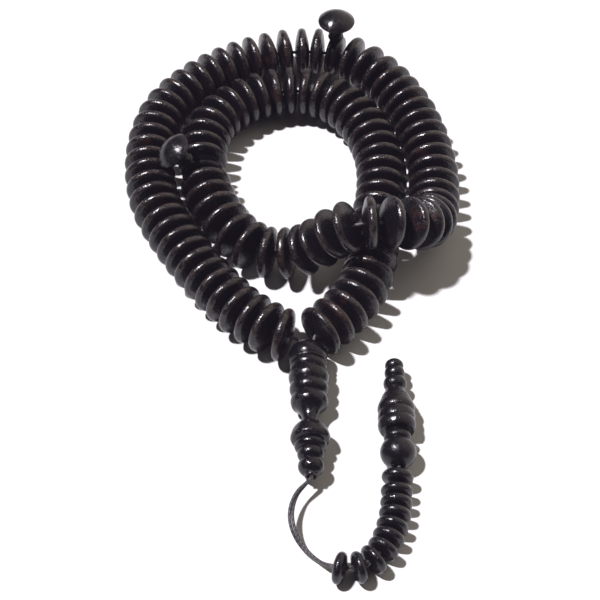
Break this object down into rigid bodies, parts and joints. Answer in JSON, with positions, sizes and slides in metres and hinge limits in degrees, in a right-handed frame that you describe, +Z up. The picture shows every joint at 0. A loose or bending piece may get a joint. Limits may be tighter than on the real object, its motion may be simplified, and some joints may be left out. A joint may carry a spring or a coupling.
{
  "type": "prayer bead string",
  "caption": "String of turned dark wooden prayer beads in a loop that crosses itself, with grooved markers, leader and a tassel of counters and finial.",
  "frame": {"origin": "centre of the bounding box, on the surface that the string lies on", "axes": "+Z up, away from the surface; +Y from the tassel towards the top of the loop; +X towards the side where the strand crosses over itself"},
  "size_m": [0.0948, 0.1842, 0.0287],
  "materials": {
    "bead_wood": "polished, lacquered, near-black with dark brown mottling",
    "marker_wood": "polished, lacquered, near-black with dark brown mottling",
    "leader_wood": "polished, lacquered, near-black with dark brown mottling",
    "counter_wood": "polished, lacquered, near-black with dark brown mottling",
    "finial_wood": "polished, lacquered, near-black with dark brown mottling",
    "cord": "waxed twisted thread, slight sheen"
  },
  "bodies": {
    "strand": {"crossing_beads_01_03": "bead_wood", "crossing_beads_04_06": "bead_wood", "crossing_beads_08_11": "bead_wood", "crossing_beads_12_15": "bead_wood", "crossing_beads_17_20": "bead_wood", "crossing_beads_23_26": "bead_wood", "crossing_beads_27_30": "bead_wood", "crossing_beads_31_33": "bead_wood", "inner_beads_01_03": "bead_wood", "inner_beads_04_06": "bead_wood", "inner_beads_08_11": "bead_wood", "inner_beads_12_15": "bead_wood", "inner_beads_17_19": "bead_wood", "inner_beads_20_23": "bead_wood", "inner_beads_25_28": "bead_wood", "inner_beads_29_32": "bead_wood", "leader_body": "leader_wood", "leader_cord": "cord", "leader_knot": "cord", "outer_beads_02_05": "bead_wood", "outer_beads_06_09": "bead_wood", "outer_beads_11_14": "bead_wood", "outer_beads_15_18": "bead_wood", "outer_beads_20_23": "bead_wood", "outer_beads_24_26": "bead_wood", "outer_beads_28_30": "bead_wood", "outer_beads_31_33": "bead_wood", "strand_cord": "cord"},
    "counter_01": {"counter_01": "counter_wood"},
    "counter_02": {"counter_02": "counter_wood"},
    "counter_03": {"counter_03": "counter_wood"},
    "counter_04": {"counter_04": "counter_wood"},
    "counter_05": {"counter_05": "counter_wood"},
    "counter_06": {"counter_06": "counter_wood"},
    "counter_07": {"counter_07": "counter_wood"},
    "counter_08": {"counter_08": "counter_wood"},
    "counter_09": {"counter_09": "counter_wood"},
    "counter_10": {"counter_10": "counter_wood"},
    "crossing_bead_07": {"crossing_bead_07": "bead_wood"},
    "crossing_bead_16": {"crossing_bead_16": "bead_wood"},
    "crossing_bead_21": {"crossing_bead_21": "bead_wood"},
    "crossing_bead_22": {"crossing_bead_22": "bead_wood"},
    "inner_bead_07": {"inner_bead_07": "bead_wood"},
    "inner_bead_16": {"inner_bead_16": "bead_wood"},
    "inner_bead_24": {"inner_bead_24": "bead_wood"},
    "inner_bead_33": {"inner_bead_33": "bead_wood"},
    "outer_bead_01": {"outer_bead_01": "bead_wood"},
    "outer_bead_10": {"outer_bead_10": "bead_wood"},
    "outer_bead_19": {"outer_bead_19": "bead_wood"},
    "outer_bead_27": {"outer_bead_27": "bead_wood"},
    "leader_foot": {"leader_foot": "leader_wood"},
    "finial_ball": {"finial_ball": "finial_wood"},
    "finial_urn": {"finial_urn": "finial_wood"},
    "marker_right": {"marker_right_barrel": "marker_wood", "marker_right_peg": "marker_wood"},
    "marker_left": {"marker_left_barrel": "marker_wood", "marker_left_peg": "marker_wood"},
    "tail": {"tail_cord": "cord", "finial_plug": "cord"}
  },
  "joints": [
    {"name": "counter_01_spin", "type": "hinge", "parent": "tail", "child": "counter_01", "pos_m": [0.01184, -0.08822, 0.00399], "axis": [0.9597, -0.2744, 0.0613], "continuous": true},
    {"name": "counter_02_spin", "type": "hinge", "parent": "tail", "child": "counter_02", "pos_m": [0.01637, -0.08811, 0.00402], "axis": [0.9545, 0.2979, -0.0136], "continuous": true},
    {"name": "counter_03_spin", "type": "hinge", "parent": "tail", "child": "counter_03", "pos_m": [0.01987, -0.08602, 0.00398], "axis": [0.753, 0.6579, -0.0069], "continuous": true},
    {"name": "counter_04_spin", "type": "hinge", "parent": "tail", "child": "counter_04", "pos_m": [0.02225, -0.0832, 0.00397], "axis": [0.5297, 0.8482, 0], "continuous": true},
    {"name": "counter_05_spin", "type": "hinge", "parent": "tail", "child": "counter_05", "pos_m": [0.02366, -0.08011, 0.00397], "axis": [0.35, 0.9368, 0], "continuous": true},
    {"name": "counter_06_spin", "type": "hinge", "parent": "tail", "child": "counter_06", "pos_m": [0.02466, -0.07707, 0.00397], "axis": [0.2759, 0.9612, 0], "continuous": true},
    {"name": "counter_07_spin", "type": "hinge", "parent": "tail", "child": "counter_07", "pos_m": [0.02542, -0.07386, 0.00397], "axis": [0.1832, 0.9831, 0], "continuous": true},
    {"name": "counter_08_spin", "type": "hinge", "parent": "tail", "child": "counter_08", "pos_m": [0.02586, -0.07069, 0.00397], "axis": [0.099, 0.9951, 0], "continuous": true},
    {"name": "counter_09_spin", "type": "hinge", "parent": "tail", "child": "counter_09", "pos_m": [0.02609, -0.0675, 0.00399], "axis": [0.0714, 0.9968, 0.035], "continuous": true},
    {"name": "counter_10_spin", "type": "hinge", "parent": "tail", "child": "counter_10", "pos_m": [0.02642, -0.06363, 0.0043], "axis": [0.0954, 0.9895, 0.1083], "continuous": true},
    {"name": "crossing_bead_07_spin", "type": "hinge", "parent": "strand", "child": "crossing_bead_07", "pos_m": [0.0356, 0.05769, 0.00715], "axis": [0.3373, -0.9414, 0], "continuous": true},
    {"name": "crossing_bead_16_spin", "type": "hinge", "parent": "strand", "child": "crossing_bead_16", "pos_m": [0.03856, 0.01583, 0.00986], "axis": [-0.2491, -0.8694, 0.4268], "continuous": true},
    {"name": "crossing_bead_21_spin", "type": "hinge", "parent": "strand", "child": "crossing_bead_21", "pos_m": [0.02117, 0.00385, 0.02156], "axis": [-0.9972, -0.0745, 0.0061], "continuous": true},
    {"name": "crossing_bead_22_spin", "type": "hinge", "parent": "strand", "child": "crossing_bead_22", "pos_m": [0.0152, 0.0038, 0.0198], "axis": [-0.854, 0.0518, -0.5176], "continuous": true},
    {"name": "inner_bead_07_spin", "type": "hinge", "parent": "strand", "child": "inner_bead_07", "pos_m": [-0.01362, 0.0637, 0.00715], "axis": [0.8511, 0.5249, 0], "continuous": true},
    {"name": "inner_bead_16_spin", "type": "hinge", "parent": "strand", "child": "inner_bead_16", "pos_m": [0.02131, 0.05313, 0.00715], "axis": [0.441, -0.8975, 0], "continuous": true},
    {"name": "inner_bead_24_spin", "type": "hinge", "parent": "strand", "child": "inner_bead_24", "pos_m": [0.02351, 0.01652, 0.00715], "axis": [-0.1474, -0.9891, 0], "continuous": true},
    {"name": "inner_bead_33_spin", "type": "hinge", "parent": "strand", "child": "inner_bead_33", "pos_m": [0.0079, -0.02101, 0.00715], "axis": [-0.7538, -0.6571, 0], "continuous": true},
    {"name": "outer_bead_01_spin", "type": "hinge", "parent": "strand", "child": "outer_bead_01", "pos_m": [-0.00184, -0.02218, 0.00718], "axis": [-0.9432, 0.332, 0.0127], "continuous": true},
    {"name": "outer_bead_10_spin", "type": "hinge", "parent": "strand", "child": "outer_bead_10", "pos_m": [-0.03008, 0.00818, 0.00715], "axis": [-0.5194, 0.8545, 0], "continuous": true},
    {"name": "outer_bead_19_spin", "type": "hinge", "parent": "strand", "child": "outer_bead_19", "pos_m": [-0.03991, 0.04763, 0.00715], "axis": [0.1261, 0.992, 0], "continuous": true},
    {"name": "outer_bead_27_spin", "type": "hinge", "parent": "strand", "child": "outer_bead_27", "pos_m": [-0.01996, 0.07711, 0.00715], "axis": [0.8375, 0.5464, 0], "continuous": true},
    {"name": "leader_foot_spin", "type": "hinge", "parent": "strand", "child": "leader_foot", "pos_m": [0.00499, -0.04835, 0.00525], "axis": [0.018, -0.9998, 0], "continuous": true},
    {"name": "finial_ball_spin", "type": "hinge", "parent": "tail", "child": "finial_ball", "pos_m": [0.02682, -0.06075, 0.00485], "axis": [0, 1, 0], "continuous": true},
    {"name": "finial_urn_spin", "type": "hinge", "parent": "tail", "child": "finial_urn", "pos_m": [0.02682, -0.06075, 0.00485], "axis": [0, 1, 0], "continuous": true},
    {"name": "marker_right_roll", "type": "hinge", "parent": "strand", "child": "marker_right", "pos_m": [0.01311, 0.08363, 0.00715], "axis": [0.9437, -0.3308, 0], "range_deg": [-30, 30]},
    {"name": "marker_left_roll", "type": "hinge", "parent": "strand", "child": "marker_left", "pos_m": [-0.02487, 0.03504, 0.00715], "axis": [-0.1353, 0.9908, 0], "range_deg": [0, 70]},
    {"name": "tail_swing", "type": "hinge", "parent": "strand", "child": "tail", "pos_m": [0.0052, -0.0646, 0.0052], "axis": [0, 0, 1], "range_deg": [-20, 10]}
  ]
}
